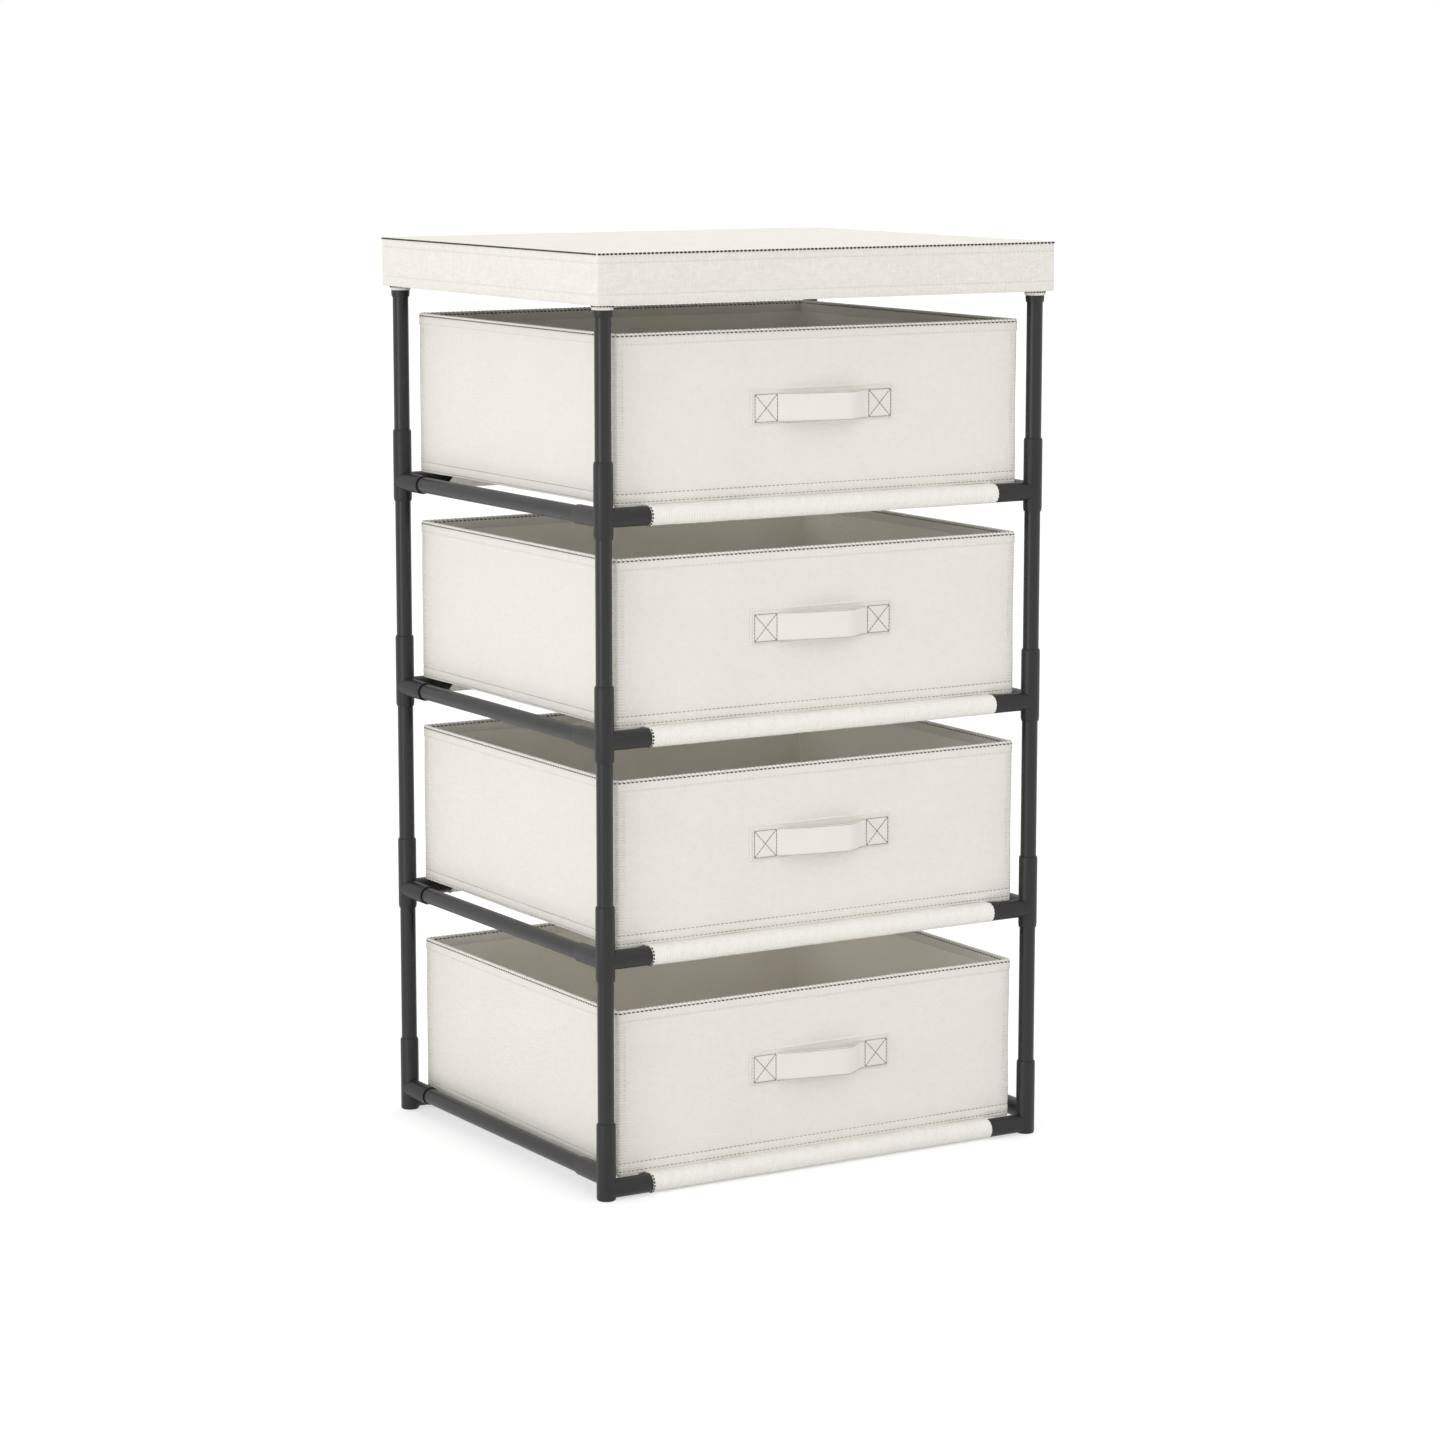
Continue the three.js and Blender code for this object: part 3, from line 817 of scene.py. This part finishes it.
def corner_seams(plan, height):
    """Upright seams on both sides of each corner."""
    left, right, front, back, _ = plan
    low = BASE_SEAMS[-1] + CORNER_SEAM_ENDS[0]
    high = height - BINDING_HEIGHT - CORNER_SEAM_ENDS[1]
    lines = []
    for x, way in ((left, -1), (right, 1)):
        for y, side in ((front, -1), (back, 1)):
            feet = {(x - way * CORNER_SEAM, y): (0, side, 0), (x, y - side * CORNER_SEAM): (way, 0, 0)}
            for foot, out in feet.items():
                lines.append(([(*foot, low), (*foot, high)], [out, out]))
    return lines


def panel_ribs(x, y, z):
    """Folds that the seams pull in: level ones beside the upright corners, upright ones along the base."""
    _, right, front, back, _ = plan
    from_side = (right - x.size()).at_least(0.0)
    from_face = (back - front) / 2 - (y - (front + back) / 2).size()
    corner = near(from_side.at_least(from_face), CORNER_SEAM + RIBS_PAST_SEAM)
    base = near(z, BASE_SEAMS[-1] + RIBS_PAST_SEAM)
    return wave(z, RIB_PITCH) * (corner * 2).at_most(1.0) * 0.8 + wave(x + y, RIB_PITCH) * base


def binding_ribs(x, y, z):
    return wave(x + y, RIB_PITCH) * 0.35


low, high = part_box("bin_1")
bin_front = middle("front_rail_1").y + BIN_FRONT_INSET
plan = (low.x + BIN_PROUD, high.x - BIN_PROUD, bin_front, high.y - BIN_PROUD, BIN_CORNER)
bin_height = length_of("bin_1", "Z") + RIM_RISE
# The panels' and the binding's ribs are painted darker: painted shade in their creases.
panel_fabric = embossed("panel_fabric", panel_ribs)
# The lining fabric is painted paler than the outside: painted light inside the bins.
lining_fabric_painted_light = embossed("lining_fabric_painted_light", light=LINING_PAINTED_LIGHT, shade=LINING_PAINTED_LIGHT_LOW)
binding_fabric = embossed("binding_fabric", binding_ribs, light=BINDING_LIGHT)
# The roll's fabric is painted paler: a painted highlight along the rim's top.
roll_fabric_painted_highlight = embossed("roll_fabric_painted_highlight", light=ROLL_PAINTED_HIGHLIGHT, shade=ROLL_PAINTED_HIGHLIGHT_LOW)
pale_thread = twisted_thread("pale_thread", PALE_THREAD, PALE_THREAD_LIT)
grey_thread = twisted_thread("grey_thread", GREY_THREAD, GREY_THREAD_LIT)
# The rim seam runs outside and inside in dark thread; inside, it also stands in for the shade under the
# roll, partly painted shade.
rim_lines = both_faces(bin_height - RIM_SEAM, 0.0)
base_lines = [seam_round(plan, height, BASE_SEAM_IN) for height in BASE_SEAMS]
pale_lines = both_faces(bin_height - BINDING_HEIGHT + PALE_SEAM_RISE, BIN_PROUD)
corner_lines = corner_seams(plan, bin_height)
bin_parts = {
    "shell": bin_shell(plan, bin_height),
    "binding": rim_binding(plan, bin_height),
    "roll": rim_roll(plan, bin_height),
    "board": loose_board(plan),
    "rim_seam": sewing("rim_seam", rim_lines, dark_thread, *RIM_STITCH),
    "base_seams": sewing("base_seams", base_lines, grey_thread, *BASE_STITCH),
    "pale_seams": sewing("pale_seams", pale_lines, pale_thread, *PALE_STITCH),
    "corner_seams": sewing("corner_seams", corner_lines, pale_thread, *CORNER_STITCH),
}


# Bin handle. A flat strap of the cream fabric, folded and pressed smooth. Both ends are tacked through a
# backing patch with a boxed cross, and the length between them stands off in an arch for the fingers.
STRAP_HEIGHT = 0.0278
STRAP_THICKNESS = 0.0018
STRAP_SPAN = 0.103
STRAP_RISE = 0.0168
STRAP_CROWN = 0.073  # from its left tack to where the strap stands off most
STRAP_TACK = 0.027
STRAP_BELOW_RIM = 0.0751
PATCH_MARGIN = 0.003
PATCH_ABOVE = 0.0048
PATCH_THICKNESS = 0.001
PATCH_SEAM = 0.0016  # from the patch's edges
PATCH_CORNER = 0.002
PATCH_STITCH = (0.0042, 0.0030, 0.0002)
CROSS_INSET = 0.0009
STRAP_STITCH = (0.0032, 0.0030, 0.0001, 0.0005)
STRAP_RIPPLE = (0.02, 0.0002)
STRAP_RIB_PITCH = 0.0016
STRAP_SEAM = 0.0006  # from the strap's edges
WEBBING = (0.865, 0.843, 0.786, 1)
WEBBING_SHADE = (0.806, 0.784, 0.72, 1)


def pressed_fabric():
    """The strap's fabric: ironed smooth, with fine ribs along it."""
    finish = Finish("pressed_fabric")
    _, _, z = finish.along()
    ribs = wave(z, STRAP_RIB_PITCH)
    fibres = finish.place.grain(0.0009, detail=3)
    clouds = finish.place.grain(0.03)
    return finish.shade(
        Base_Color=(ribs * 0.25 + fibres * 0.35 + clouds * 0.4).tint(WEBBING_SHADE, WEBBING),
        Roughness=fibres * 0.1 + 0.8,
        Normal=(ribs * 0.4 + fibres * 0.4).relief(0.00008),
        Specular_IOR_Level=0.25,
        Sheen_Weight=0.06,
    )


def strap_path():
    """Points (x, distance out from the patch) from the left end to the right end."""
    passed = np.linspace(0, STRAP_SPAN, 61)
    climb = (np.minimum(passed, STRAP_CROWN) / STRAP_CROWN) ** 0.75
    fall = np.cos(np.maximum(passed - STRAP_CROWN, 0) * (math.pi / (STRAP_SPAN - STRAP_CROWN))) * 0.5 + 0.5
    rise = np.convolve(np.pad(STRAP_RISE * climb * fall, 3), np.ones(7) / 7, mode="valid")
    rise = np.convolve(np.pad(rise, 2), np.ones(5) / 5, mode="valid")
    rise[[0, -1]] = 0
    tack = STRAP_SPAN / 2 + STRAP_TACK * np.array([0.25, 0.5, 0.75, 1])
    across = np.concatenate((-tack[::-1], passed - STRAP_SPAN / 2, tack))
    return np.column_stack((across, np.concatenate((np.zeros(4), rise, np.zeros(4)))))


def strap(face):
    """The strap on a face at y. Its long edges are folds."""
    path = strap_path()
    out = off_line(path)
    half, thick = STRAP_HEIGHT / 2, STRAP_THICKNESS
    section = [(half - 0.0006, 0), (half, 0.3), (half, 0.7), (half - 0.0006, 1), (half - 0.003, 0.94)]
    section += [(0, 0.96), *((-z, away) for z, away in reversed(section))]
    rows = []
    for (x, rise), (across, up) in zip(path, out):
        ring = [(x + across * thick * away, face - rise - up * thick * away, z) for z, away in section]
        rows.append(np.array(ring))
    return smoothed(ripple(skin("strap", rows), *STRAP_RIPPLE), smooth_fabric, crease=50)


def patch_sides(inset=0.0):
    """Half the width of the patch, and the heights of its lower and upper edges, each pulled in."""
    width = STRAP_SPAN / 2 + STRAP_TACK + PATCH_MARGIN - inset
    return width, inset - STRAP_HEIGHT / 2 - PATCH_MARGIN, STRAP_HEIGHT / 2 + PATCH_ABOVE - inset


def backing_patch(face):
    """The patch: a flat strip with soft edges, sewn down close to them."""
    x, low, high = patch_sides()
    rows = []
    for inset, out in ((0.0, -0.0006), (0.0, 0.4), (0.0004, 0.85), (0.0012, 1), (0.010, 1)):
        ring = panel_plan(-x, x, low, high, PATCH_CORNER, inset=inset)
        y = np.full(len(ring), face - PATCH_THICKNESS * out)
        rows.append(np.column_stack((ring[:, 0], y, ring[:, 1])))
    return smoothed(skin("backing_patch", rows), cream_fabric, crease=70)


def boxed_cross(side, face):
    """Seam lines of one tack: round a rectangle, and along both of its diagonals."""
    inner = side * (STRAP_SPAN / 2 + CROSS_INSET)
    outer = side * (STRAP_SPAN / 2 + STRAP_TACK - CROSS_INSET)
    half = STRAP_HEIGHT / 2 - STRAP_SEAM
    a, b, c, d = (inner, face, -half), (outer, face, -half), (outer, face, half), (inner, face, half)
    lines = ((a, b), (b, c), (c, d), (d, a), (a, c), (b, d))
    return [(line, [(0, -1, 0)] * 2) for line in lines]


def strap_seams(face):
    """The seams that close the strap's two folded edges."""
    path = strap_path()
    out = off_line(path)
    facing = np.column_stack((out[:, 0], -out[:, 1], np.zeros(len(path))))
    lines = []
    for z in (STRAP_HEIGHT / 2 - STRAP_SEAM, STRAP_SEAM - STRAP_HEIGHT / 2):
        line = np.column_stack((path[:, 0], face - path[:, 1], np.full(len(path), z)))
        line += facing * STRAP_THICKNESS
        lines.append((line[4:-4], facing[4:-4]))
    return lines


smooth_fabric = pressed_fabric()
patch_face = bin_front - PATCH_THICKNESS
strap_face = patch_face - STRAP_THICKNESS
side, low, high = patch_sides(PATCH_SEAM)
patch_corners = [(-side, low), (side, low), (side, high), (-side, high), (-side, low)]
patch_lines = [([(x, patch_face, z) for x, z in patch_corners], [(0, -1, 0)] * 5)]
cross_lines = boxed_cross(-1, strap_face) + boxed_cross(1, strap_face)
handle_parts = {
    "patch": backing_patch(bin_front),
    "strap": strap(patch_face),
    "patch_seam": sewing("patch_seam", patch_lines, pale_thread, *PATCH_STITCH),
    "crosses": sewing("crosses", cross_lines, dark_thread, *STRAP_STITCH),
    "strap_seams": sewing("strap_seams", strap_seams(patch_face), grey_thread, *STRAP_STITCH),
}
for level in LEVELS:
    low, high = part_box(f"bin_{level}")
    for parts, height in ((bin_parts, low.z), (handle_parts, high.z - STRAP_BELOW_RIM)):
        for part, shape in parts.items():
            piece = put(f"bin_{level}_{part}", shape, (0, 0, height))
            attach(piece, f"bin_{level}")
            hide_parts(f"bin_{level}")


# Top frame. Four corner pieces of the same plastic cap the uprights and hold four more tubes, which keep
# the cover square. A sleeve of cream fabric pads each collar where the cover's skirt hangs against it.
COLLAR_DROP = 0.0465  # from the rails' axis to the collar's bottom edge
COLLAR_GRIP = 0.020
PAD_THICKNESS = 0.0007
PAD_CLEAR = 0.0001
PAD_LOW = 0.0069  # from the collar's bottom edge
PAD_SEAM = 0.0032  # from the pad's lower edge
PAD_STITCH = (0.0030, 0.0022, 0.0003, 0.0015)


def top_corner():
    arms, bores = connector_parts()
    climb = np.radians((0, 15, 30, 45, 60, 75, 85))
    dome = [(SLEEVE_RADIUS * math.cos(angle), SLEEVE_RADIUS * math.sin(angle)) for angle in climb]
    tapered = [(SLEEVE_BORE + MOUTH_EDGE, -COLLAR_DROP), (SLEEVE_RADIUS, SLEEVE_TAPER - COLLAR_DROP)]
    collar = skin("collar", turned([*tapered, *dome]))
    bore = rod(SLEEVE_BORE, -COLLAR_DROP - CUTTER_PAST, COLLAR_GRIP - COLLAR_DROP)
    return moulded("top_corner", [collar, *arms], [bore, *bores[1:]])


def collar_pad():
    """A short tube of cloth, hemmed at its lower edge."""
    inner = SLEEVE_RADIUS + PAD_CLEAR
    outer = inner + PAD_THICKNESS
    low, high = PAD_LOW - COLLAR_DROP, -SLEEVE_RADIUS - 0.0006
    hem = outer + 0.0002
    outline = [(inner, low), (outer, low), (hem, low + 0.0005), (hem, low + 0.0022), (outer, low + 0.0028)]
    outline += [(outer, high), (inner, high)]
    return smoothed(skin("collar_pad", turned(outline), looped=True), cream_fabric, crease=60)


def pad_hem():
    """The row of stitches that holds a pad's hem."""
    angles = np.linspace(0, 2 * math.pi, TURNED_SIDES + 1)
    out = np.column_stack((np.cos(angles), np.sin(angles), np.zeros(len(angles))))
    height = PAD_LOW + PAD_SEAM - COLLAR_DROP
    return [(out * (SLEEVE_RADIUS + PAD_THICKNESS) + np.array([0, 0, height]), out)]


top_shape = smoothed(top_corner(), charcoal_plastic)
pad_shape = collar_pad()
pad_hem_shape = sewing("pad_hem", pad_hem(), dark_thread, *PAD_STITCH)
top_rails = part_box("top_frame")[1].z - SLEEVE_RADIUS
for quarter_turns, corner in enumerate(CORNERS):
    post = middle(f"upright_4_{corner}")
    cap = put(f"top_corner_{corner}", top_shape, (post.x, post.y, top_rails), quarter_turns * math.pi / 2)
    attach(cap, "frame")
    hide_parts("top_frame")
    pad = put(f"collar_pad_{corner}", pad_shape, (post.x, post.y, top_rails))
    hem = put(f"collar_pad_hem_{corner}", pad_hem_shape, (post.x, post.y, top_rails))
    for piece in (pad, hem):
        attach(piece, "frame")
for side in ("front", "back", "left", "right"):
    if side in ("front", "back"):
        shape, below = long_rail_shape, middle(f"{side}_rail_4")
    else:
        shape, below = side_rail_shape, middle(f"side_rail_4_{side}")
    rail = put(f"top_rail_{side}", shape, (below.x, below.y, top_rails))
    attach(rail, "frame")
    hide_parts("top_frame")


# Cover board. A loose sheet of pale pressed paperboard on the top frame. It keeps the cover's top flat and
# lifts off with it.
BOARD_DARK = (0.74, 0.72, 0.66, 1)
BOARD_LIGHT = (0.84, 0.825, 0.77, 1)


def paperboard():
    finish = Finish("paperboard")
    fibres = finish.place.grain(0.0012, detail=4)
    blotches = finish.place.grain(0.02, detail=3)
    return finish.shade(
        Base_Color=(fibres * 0.6 + blotches * 0.4).tint(BOARD_DARK, BOARD_LIGHT),
        Roughness=fibres * 0.15 + 0.7,
        Normal=fibres.relief(0.00006),
    )


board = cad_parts["cover_board"]
board.data.materials.clear()
board.data.materials.append(paperboard())


# Cover. One piece of cream embossed fabric with slubs in its yarn, its corners sewn up into a box that
# drops over the top frame. A dark seam runs round its top edge, drawn thick so that it stands in for the
# shadow along the edge as well, partly painted shadow. A pale row below it holds the edge crisp, and the
# hem is turned up inside.
SKIRT = 0.0016
COVER_TOP = 0.0012
COVER_CORNER = 0.0025
COVER_EDGE_SEAM = 0.0013  # below the top
COVER_SECOND_SEAM = 0.0095
COVER_SEAM_IN = 0.0002
EDGE_SEAM_STOP = 0.0008  # from the cover's corners
# Thick near-black stitches: a seam, and partly painted shadow along the cover's top edge.
EDGE_STITCH = (0.0044, 0.0032, 0.0004, 0.0021)
FAINT_STITCH = (0.005, 0.0036, 0.0002)
FAINT_HALF = 0.0014  # half the width of the dent along a pale seam
FAINT_PULL = 0.00025
HEM = 0.010
HEM_EXTRA = 0.0005
TOP_INSETS = (0.012, 0.03, 0.06, 0.10, 0.15, 0.20)
COVER_LIGHT = (0.905, 0.883, 0.826, 1)


def boxed_cover(plan, low, high):
    """Outside from the hem up, over the top, and back down the inside to the turned-up hem."""
    hem, second, edge = low + HEM, high - COVER_SECOND_SEAM, high - COVER_EDGE_SEAM
    under = [(inset, high - COVER_TOP) for inset in (*reversed(TOP_INSETS), 0.003)]
    inside = [(SKIRT, z) for z in [high - 0.0024, *rising(high - 0.0024, hem + 0.0006)]]
    folded = SKIRT + HEM_EXTRA
    turned_up = [(SKIRT, hem + 0.0006), (folded, hem), (folded, low + 0.0008), (0.0012, low)]
    outside = [(0.0006, low), (0.0, low + 0.0010)]
    outside += [(0.0, hem - FAINT_HALF), (FAINT_PULL, hem), (0.0, hem + FAINT_HALF)]
    outside += [(0.0, z) for z in rising(hem + FAINT_HALF, second - FAINT_HALF, 0.006)]
    outside += [(0.0, second - FAINT_HALF), (FAINT_PULL, second), (0.0, second + FAINT_HALF)]
    outside += [(0.0, edge - 0.0008), (0.0003, edge), (0.0001, edge + 0.0006)]
    outside += [(0.0007, high - 0.0001), (0.0020, high)]
    top = [(inset, high) for inset in TOP_INSETS]
    mesh = walls("boxed_cover", plan, [*under, *inside, *turned_up, *outside, *top])
    return smoothed(mesh, cover_fabric, crease=60)


def cover_edges(plan, height):
    """The seam along each of the four top edges. It stops short of the corners."""
    left, right, front, back, _ = plan
    short, sunk = EDGE_SEAM_STOP, COVER_SEAM_IN
    lines = []
    for way, y in ((1, front + sunk), (-1, back - sunk)):
        ends = [(left + short, y, height), (right - short, y, height)][::way]
        lines.append((ends, [(0, -way, 0)] * 2))
    for way, x in ((1, right - sunk), (-1, left + sunk)):
        ends = [(x, front + short, height), (x, back - short, height)][::way]
        lines.append((ends, [(way, 0, 0)] * 2))
    return lines


cover_fabric = embossed("cover_fabric", light=COVER_LIGHT, slubs_show=2.0)
cover_low, cover_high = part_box("cover")
cover_plan = (cover_low.x, cover_high.x, cover_low.y, cover_high.y, COVER_CORNER)
cover = put("boxed_cover", boxed_cover(cover_plan, cover_low.z, cover_high.z))
edge_lines = cover_edges(cover_plan, cover_high.z - COVER_EDGE_SEAM)
faint_heights = (cover_high.z - COVER_SECOND_SEAM, cover_low.z + HEM)
faint_lines = [seam_round(cover_plan, z, COVER_SEAM_IN) for z in faint_heights]
edge_shape = sewing("cover_edge_seam", edge_lines, dark_thread, *EDGE_STITCH)
edge_seam = put("cover_edge_seam", edge_shape)
faint_shape = sewing("cover_faint_seams", faint_lines, pale_thread, *FAINT_STITCH)
faint_seams = put("cover_faint_seams", faint_shape)
for piece in (cover, edge_seam, faint_seams):
    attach(piece, "cover")
    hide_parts("cover")


# Studio. A white floor and a white surround, which light the shelf softly from all sides, a low lamp on
# the left, whose reflection runs down the tubes, and a weak one overhead. The floor looks white and keeps
# a soft shadow.
FLOOR_SIZE = 60.0
FLOOR_WHITE = 0.82
FLOOR_SHOWN = 0.50  # share of the floor's white that shadows can darken
FLOOR_GLOW = 0.60
LAMP_AIM = Vector((0, 0, 0.45))
LAMPS = {
    "left_lamp": ((-4.0, -1.3, 0.6), (1.0, 1.1), 25.0),
    "overhead_lamp": ((0.0, 0.0, 3.6), (2.4, 2.4), 5.0),
}

world = bpy.data.worlds.new("surround")
bpy.context.scene.world = world
world.use_nodes = True
surround = world.node_tree.nodes["Background"]
surround.inputs["Color"].default_value = (1, 1, 1, 1)
surround.inputs["Strength"].default_value = 1.0

floor_mesh = bpy.data.meshes.new("studio_floor")
floor_corners = [(right * FLOOR_SIZE / 2, back * FLOOR_SIZE / 2, 0) for right, back in CORNERS.values()]
floor_mesh.from_pydata(floor_corners, [], [(0, 1, 2, 3)])
floor_finish = Finish("studio_floor")
light_path = floor_finish.tree.nodes.new("ShaderNodeLightPath")
shown = Wire(floor_finish.tree, light_path.outputs["Is Camera Ray"])
for ray in ("Is Glossy Ray", "Is Transmission Ray"):
    shown = shown.at_least(Wire(floor_finish.tree, light_path.outputs[ray]))
floor_finish.shade(
    Base_Color=shown.tint((FLOOR_WHITE,) * 3 + (1,), (FLOOR_SHOWN,) * 3 + (1,)),
    Roughness=0.9,
    Specular_IOR_Level=0.0,
    Emission_Color=shown.tint((0, 0, 0, 1), (FLOOR_GLOW,) * 3 + (1,)),
    Emission_Strength=1.0,
)
floor_mesh.materials.append(floor_finish.material)
put("studio_floor", floor_mesh)

for name, (place, size, power) in LAMPS.items():
    lamp = bpy.data.lights.new(name, "AREA")
    lamp.shape = "RECTANGLE"
    lamp.size, lamp.size_y = size
    lamp.energy = power
    stand = put(name, lamp, place)
    stand.rotation_euler = (Vector(place) - LAMP_AIM).to_track_quat("Z", "Y").to_euler()
bpy.context.scene.view_settings.view_transform = "Standard"
